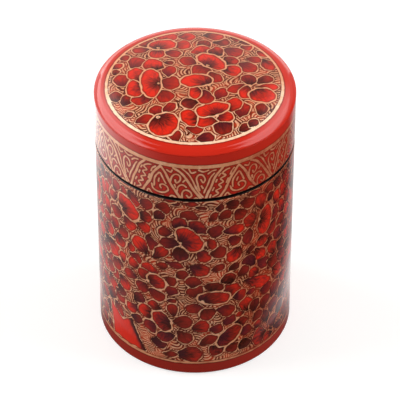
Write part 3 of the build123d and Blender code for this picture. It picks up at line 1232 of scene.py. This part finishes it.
# %% Relief and the shader
relief = add(tree, "Math", {
    0: brush_noise["streaks"], 1: 0.15, 2: gold_mask,
}, operation="MULTIPLY_ADD")[0]
bump = {}
for name, height, strength, depth in (
    ("paint", relief, 0.5, 0.04), ("coat", noise["ripple"], 0.6, 0.06),
):
    bump[name] = add(tree, "Bump", {
        "Height": height, "Strength": strength, "Distance": depth * METRES,
    })["Normal"]
shader = add(tree, "BsdfPrincipled", {
    "Base Color": colour,
    "Metallic": add(tree, "Math", {0: gold_mask, 1: 0.12}, operation="MULTIPLY")[0],
    "Roughness": add(tree, "Math", {0: gold_mask, 1: -0.15, 2: 0.5}, operation="MULTIPLY_ADD")[0],
    "Specular IOR Level": 0.0,
    "Normal": bump["paint"],
    "Coat Weight": 1.0,
    "Coat Roughness": 0.07,
    "Coat IOR": 1.36,
    "Coat Normal": bump["coat"],
})
add(tree, "OutputMaterial", {"Surface": shader["BSDF"]})
print("painted material nodes:", len(tree.nodes))

# %% [markdown]
# ## Black lacquer
# Inside, where nothing is decorated, the wood has plain black paint under a thinner coat.
# The turning leaves faint rings, and handling leaves faint dull patches.

# %% The black material
black = bpy.data.materials.new("black lacquer on turned wood")
tree = empty_tree(black)
place = add(tree, "TexCoord")["Object"]
around = add(tree, "VectorMath", {0: place, 1: (0.08, 0.08, 1.0)}, operation="MULTIPLY")
rings = add(tree, "TexNoise", {
    "Vector": around["Vector"], "Scale": per_millimetre(1.6), "Detail": 2.0,
})["Fac"]
handled = add(tree, "TexNoise", {
    "Vector": place, "Scale": per_millimetre(0.12), "Detail": 4.0,
})["Fac"]
shader = add(tree, "BsdfPrincipled", {
    "Base Color": add(tree, "Mix", {
        "Factor": handled, "A": linear("#0b0707"), "B": linear("#1f1210"),
    }, data_type="RGBA")["Result"],
    "Roughness": add(tree, "MapRange", {
        "Value": handled, "From Min": 0.35, "From Max": 0.65, "To Min": 0.34, "To Max": 0.5,
    })["Result"],
    "Normal": add(tree, "Bump", {
        "Height": rings, "Strength": 0.4, "Distance": 0.05 * METRES,
    })["Normal"],
    "Coat Weight": 0.6,
    "Coat Roughness": 0.12,
})
add(tree, "OutputMaterial", {"Surface": shader["BSDF"]})
print("black material nodes:", len(tree.nodes))

# %% [markdown]
# ## Make the pieces
# Each piece takes its mesh, carries the painter's numbers as point attributes, and wears
# black wherever its surface faces inwards. It stands for one node of the frame and rides
# on the body that the node belongs to.

# %% Dress a piece
def keep_sheet(mesh, sheet):
    """Store the painter's numbers on the mesh's points."""
    for name in SHEET_NUMBERS:
        layer = mesh.attributes.new(name, "FLOAT", "POINT")
        layer.data.foreach_set("value", sheet[name].astype(np.float32))
    layer = mesh.attributes.new("brush", "FLOAT_VECTOR", "POINT")
    layer.data.foreach_set("vector", sheet["brush"].astype(np.float32).ravel())


def dress(mesh, node, body, faces_painted=None):
    """Turn a mesh into a finished piece that replaces one node and rides on its body."""
    piece = put_in_scene(mesh.name, mesh)
    for material in [black] if faces_painted is None else [painted, black]:
        mesh.materials.append(material)
    if faces_painted is not None:
        wears_black = ~faces_painted
        mesh.polygons.foreach_set("material_index", wears_black.astype(np.int32))
    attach(piece, body)
    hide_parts(node)


print("a piece carries", len(SHEET_NUMBERS) + 1, "painter's attributes")

# %% [markdown]
# Other programs read the finished colours from an image, so each painted piece carries a
# map of where its faces lie in that image. The rows and columns of the mesh make the map.
# The outside of a wall becomes a few stacked strips, and the outside of the lid's top a disc
# seen from above. All that faces inwards shares one thin strip along the image's top.

# %% Number the corners of the faces
def corner_places(rows, columns, on_axis):
    """Row, column and face of every face corner, and the column that its face starts in.

    The order is that of the mesh: the quads row by row, then the fans at the two poles. A
    pole's own corner takes the middle of its face's columns.
    """
    last = rows + 1 if on_axis else rows
    row, column = np.meshgrid(np.arange(on_axis, last - on_axis), np.arange(columns), indexing="ij")
    row, column = row.ravel(), column.ravel()
    at_row = np.stack([row, row, row + 1, row + 1], axis=-1).ravel()
    at_column = np.stack([column, column + 1, column + 1, column], axis=-1).ravel()
    face, own_column = np.repeat(np.arange(len(row)), 4), np.repeat(column, 4)
    if on_axis:
        fan = np.arange(columns)
        under = np.stack([fan + 0.5, fan + 1, fan], axis=-1).ravel()
        over = np.stack([fan + 0.5, fan, fan + 1], axis=-1).ravel()
        fan_rows = np.tile([0, 1, 1], columns), np.tile([last, last - 1, last - 1], columns)
        at_row = np.concatenate([at_row, *fan_rows])
        at_column = np.concatenate([at_column, under, over])
        face = np.concatenate([face, np.repeat(len(row) + np.arange(2 * columns), 3)])
        own_column = np.concatenate([own_column, np.repeat(np.tile(fan, 2), 3)])
    return at_row, at_column, face, own_column


print("corners of a ring of 2 rows and 3 columns:", len(corner_places(2, 3, False)[0]))

# %% Lay out the map for the image
IMAGE_SHARE = 0.9
IMAGE_MARGIN = 0.006


def keep_image_map(mesh, outline, columns, outside, strips):
    """Give each face corner its place (u, v) in the image.

    The place comes from the corner's share of the turn and its share of the outline's
    length. With no strips, the outside becomes a disc instead: r sin a and r cos a.
    """
    on_axis = not strips
    if on_axis:
        path = np.vstack([[0, outline[0, 1]], outline, [0, outline[-1, 1]]])
    else:
        path = np.vstack([outline, outline[:1]])
    steps = np.linalg.norm(np.diff(path, axis=0), axis=1)
    length_share = np.concatenate([[0], np.cumsum(steps)]) / steps.sum()
    at_row, at_column, face, own_column = corner_places(len(outline), columns, on_axis)
    shown = outside[face]
    along = length_share[at_row]
    u = at_column / columns
    v = IMAGE_SHARE + IMAGE_MARGIN + (1 - IMAGE_SHARE - 2 * IMAGE_MARGIN) * along
    if strips:
        strip = own_column // (columns // strips)
        low, high = along[shown].min(), along[shown].max()
        in_strip = IMAGE_MARGIN + (1 - 2 * IMAGE_MARGIN) * (along - low) / (high - low)
        shown_u, shown_v = u * strips - strip, (strip + in_strip) / strips * IMAGE_SHARE
    else:
        angle = (at_column / columns - 0.5) * 2 * math.pi
        reach = path[at_row, 0] / path[:, 0].max() * (IMAGE_SHARE / 2 - IMAGE_MARGIN)
        shown_u, shown_v = 0.5 + reach * np.sin(angle), IMAGE_SHARE / 2 - reach * np.cos(angle)
    u, v = np.where(shown, shown_u, u), np.where(shown, shown_v, v)
    u = IMAGE_MARGIN + (1 - 2 * IMAGE_MARGIN) * u
    layer = mesh.uv_layers.new(name="OFBake")
    layer.data.foreach_set("uv", np.stack([u, v], axis=-1).astype(np.float32).ravel())
    print(mesh.name, "map spans u", u.min().round(3), u.max().round(3),
          "v", v.min().round(3), v.max().round(3))


print("share of the image that the outside takes:", IMAGE_SHARE)

# %% [markdown]
# A face counts as outside when its middle lies far enough from the axis and between two
# heights. The bounds at the rims keep the paint off the edges that face a neighbour.

# %% Turn, paint and dress one piece
def make_painted(name, node, body, outline, columns, paint, reach, heights, strips=0):
    """A painted piece: gold and flowers where it is outside, and black elsewhere."""
    mesh, points = turned_mesh(name, outline, columns, not strips)
    keep_sheet(mesh, paint(points))
    centres = np.empty(len(mesh.polygons) * 3, np.float32)
    mesh.polygons.foreach_get("center", centres)
    x, y, z = centres.reshape(-1, 3).T / METRES
    outside = (np.hypot(x, y) > reach) & (z > heights[0]) & (z < heights[1])
    keep_image_map(mesh, outline, columns, outside, strips)
    dress(mesh, node, body, outside)
    print(name, "has", int(outside.sum()), "outside faces")


# %% Body, collar and base
body_columns = 446
plain_columns = 256
make_painted(
    "painted_body", "body_wall", "canister", body_outline, body_columns, paint_body,
    reach=outer_radius - 0.3, heights=(-1.0, body_height - 0.2), strips=2,
)
collar_mesh = turned_mesh("black_collar", collar_outline, plain_columns, False)[0]
dress(collar_mesh, "inner_collar", "canister")
base_mesh = turned_mesh("black_base", base_outline, plain_columns, True)[0]
dress(base_mesh, "base_disc", "canister")

# %% The lid's ring and top
ring_columns = 880
top_columns = 640
above_all = apex + 1.0
make_painted(
    "painted_lid_ring", "lid_wall", "lid", lid_ring_outline, ring_columns, paint_lid_ring,
    reach=outer_radius - 0.6, heights=(lid_foot + 0.32, above_all), strips=4,
)
make_painted(
    "painted_lid_top", "lid_top", "lid", lid_top_outline, top_columns, paint_lid_top,
    reach=-1.0, heights=(lid_corner + 0.1, above_all),
)

# %% [markdown]
# ## Stage and light
# A plain white sweep and soft light. The floor is a mid grey for the light that bounces off
# it, as on a small table-top set, and white for whatever looks at it. Only the lacquer sees
# a dark zone under and just in front of the canister, where its own shadow falls.

# %% White paper
paper = bpy.data.materials.new("white paper sweep")
tree = empty_tree(paper)
path = add(tree, "LightPath")
seen = path["Is Camera Ray"]
for ray in ("Is Glossy Ray", "Is Transmission Ray"):
    seen = add(tree, "Math", {0: seen, 1: path[ray]}, operation="MAXIMUM")[0]
place = add(tree, "TexCoord")["Object"]
tooth = add(tree, "TexNoise", {"Vector": place, "Scale": per_millimetre(0.5)})["Fac"]
from_front = add(tree, "VectorMath", {0: place, 1: (0.0, 0.022, 0.0)}, operation="ADD")
from_there = add(tree, "VectorMath", {0: from_front["Vector"]}, operation="LENGTH")
open_floor = add(tree, "MapRange", {
    "Value": from_there["Value"],
    "From Min": 0.036, "From Max": 0.052, "To Min": 0.12, "To Max": 1.0,
})["Result"]
white = (1.0, 1.0, 1.0, 1.0)
looked_at = add(tree, "Mix", {
    "Factor": tooth, "A": linear("#c4c4c4"), "B": linear("#cacaca"),
}, data_type="RGBA")["Result"]
paper_colour = add(tree, "Mix", {
    "Factor": seen, "A": linear("#989898"), "B": looked_at,
}, data_type="RGBA")["Result"]
contact = add(tree, "Mix", {
    "Factor": path["Is Glossy Ray"], "A": white, "B": open_floor,
}, data_type="RGBA")["Result"]
floor_colour = add(tree, "Mix", {
    "Factor": 1.0, "A": paper_colour, "B": contact,
}, data_type="RGBA", blend_type="MULTIPLY")["Result"]
diffuse = add(tree, "BsdfDiffuse", {"Color": floor_colour})
lift = add(tree, "Emission", {
    "Color": contact,
    "Strength": add(tree, "Math", {0: seen, 1: 0.55}, operation="MULTIPLY")[0],
})
both = add(tree, "AddShader", {0: diffuse[0], 1: lift[0]})
add(tree, "OutputMaterial", {"Surface": both[0]})
print("paper nodes:", len(tree.nodes))

# %% The floor
floor_half = 6.0
floor_mesh = bpy.data.meshes.new("floor")
floor_corners = [
    (x * floor_half, y * floor_half, 0) for x, y in ((-1, -1), (1, -1), (1, 1), (-1, 1))
]
floor_mesh.from_pydata(floor_corners, [], [(0, 1, 2, 3)])
floor_mesh.materials.append(paper)
floor = put_in_scene("floor", floor_mesh)
print("floor is", 2 * floor_half, "m wide")

# %% [markdown]
# The world is bright near the horizon and nearly dark overhead, so the lid's top mirrors
# little of it. It is a touch brighter behind the canister than in front.

# %% The world
world = bpy.data.worlds.new("studio")
bpy.context.scene.world = world
tree = empty_tree(world)
direction = add(tree, "TexCoord")["Generated"]
direction = add(tree, "SeparateXYZ", {0: direction})
low_sky = add(tree, "MapRange", {
    "Value": direction["Z"], "From Min": 0.34, "From Max": 0.8, "To Min": 1.35, "To Max": 0.06,
}, interpolation_type="SMOOTHSTEP")["Result"]
to_back = add(tree, "Math", {0: direction["Y"], 1: 0.08, 2: 1.0}, operation="MULTIPLY_ADD")[0]
background = add(tree, "Background", {
    "Color": linear("#fff8f2"),
    "Strength": add(tree, "Math", {0: low_sky, 1: to_back}, operation="MULTIPLY")[0],
})
add(tree, "OutputWorld", {"Surface": background[0]})
print("world nodes:", len(tree.nodes))

# %% Lights
BOX_DISTANCE = 1.0
BOX_SIZE = (0.7, 0.4)
stage_centre = np.array([0.0, 0.0, 0.06])


def toward(azimuth, elevation):
    """Unit direction: sin a cos e, -cos a cos e, sin e. Azimuth 0 is the viewer, 90 the right."""
    turn, rise = np.radians(azimuth), np.radians(elevation)
    level = np.cos(rise)
    return np.stack([np.sin(turn) * level, -np.cos(turn) * level, np.sin(rise)], axis=-1)


def softbox(name, azimuth, elevation, power):
    """An area light aimed at the canister. The lacquer doesn't show it."""
    light = bpy.data.lights.new(name, "AREA")
    light.shape = "RECTANGLE"
    light.size, light.size_y = BOX_SIZE
    light.energy = power
    holder = put_in_scene(name, light)
    holder.location = stage_centre + toward(azimuth, elevation) * BOX_DISTANCE
    holder.rotation_euler = (math.radians(90 - elevation), 0.0, math.radians(azimuth))
    holder.visible_glossy = False
    print(f"{name}: {power} W from azimuth {azimuth}, elevation {elevation}")


softbox("left_box", -97, 38, 6.3)
softbox("right_box", 93, 40, 5.7)

# %% [markdown]
# ## What the lacquer mirrors
# A photographer of glossy things places white panels and black cards just for their
# reflections. Three curved white panels, at the left, the right and the back, give the lid
# its highlights. They are clear: they add light and hide nothing. A dark card bent round
# the front is opaque and keeps the white floor out of the lower wall. Its ends fade to
# white, which gives the milky sheen on both flanks. These sheets are seen in gloss only, so
# they neither light the object nor show in the picture.

# %% A sheet that shows in the lacquer only
def reflector(name, grid, glow, clear):
    """A curved sheet from a grid of places in metres, with a strength of light for each place.

    A clear sheet adds its light to what is behind it, and any other sheet hides that.
    """
    rows, columns = glow.shape
    row, column = np.meshgrid(np.arange(rows - 1), np.arange(columns - 1), indexing="ij")
    first = (row * columns + column).ravel()
    faces = np.stack([first, first + 1, first + columns + 1, first + columns], axis=-1)
    mesh = bpy.data.meshes.new(name)
    mesh.from_pydata(grid.reshape(-1, 3).tolist(), [], faces.tolist())
    layer = mesh.attributes.new("glow", "FLOAT", "POINT")
    layer.data.foreach_set("value", glow.astype(np.float32).ravel())
    material = bpy.data.materials.new(name)
    tree = empty_tree(material)
    light = add(tree, "Emission", {
        "Color": white, "Strength": add(tree, "Attribute", attribute_name="glow")["Fac"],
    })
    if clear:
        behind = add(tree, "BsdfTransparent")
        light = add(tree, "AddShader", {0: light[0], 1: behind[0]})
    add(tree, "OutputMaterial", {"Surface": light[0]})
    mesh.materials.append(material)
    sheet = put_in_scene(name, mesh)
    sheet.visible_camera = False
    sheet.visible_diffuse = False
    sheet.visible_shadow = False
    print(name, "has", len(faces), "faces")


# %% The white panels
PANEL_DISTANCE = 0.9
PANEL_FADE = 8
LOW_SIDE_DIMMED = 0.9


def white_panel(name, azimuths, elevations, strength):
    """A patch of a sphere round the canister. Its edges fade over PANEL_FADE degrees.

    The low part of the left panel's front end is dimmed, or it glares off the lid's top in
    views from the right.
    """
    azimuth, elevation = np.meshgrid(
        np.linspace(*azimuths, 31), np.linspace(*elevations, 13), indexing="ij",
    )
    grid = stage_centre + PANEL_DISTANCE * toward(azimuth, elevation)
    inner = np.minimum(azimuth - azimuths[0], azimuths[1] - azimuth)
    inner = np.minimum(inner, np.minimum(elevation - elevations[0], elevations[1] - elevation))
    low_side = eased(azimuth, -112, -100) * (1 - eased(elevation, 28, 40)) * (azimuth < 0)
    glow = strength * eased(inner, 0, PANEL_FADE) * (1 - LOW_SIDE_DIMMED * low_side)
    reflector(name, grid, glow, clear=True)


white_panel("left_panel", (-165, -60), (14, 67), 6.6)
white_panel("right_panel", (66, 165), (36, 71), 4.6)
white_panel("back_panel", (140, 220), (-2, 26), 1.6)

# %% The dark card
card_radius = 0.044
card_height = 0.112
card_end = 118
azimuth, height = np.meshgrid(
    np.linspace(-card_end, card_end, 60), np.linspace(0.0, card_height, 15), indexing="ij",
)
turn = np.radians(azimuth)
card_grid = np.stack([card_radius * np.sin(turn), -card_radius * np.cos(turn), height], axis=-1)
near_lid = eased(height, 0.05, 0.085)
near_floor = 1 - eased(height, 0.002, 0.026)
upper_half = eased(height, 0.03, 0.06)
middle_glow = 0.03 + 0.13 * (1 - eased(azimuth, 0, 34))
left_glow = (0.6 + 1.15 * near_lid) * eased(-azimuth, 32 - 20 * near_lid, 92 - 22 * near_lid)
right_glow = (0.55 + 0.6 * near_floor) * eased(
    azimuth, 64 - 28 * near_floor + 20 * upper_half, 104 - 18 * near_floor,
)
reflector("black_card", card_grid, middle_glow + left_glow + right_glow, clear=False)
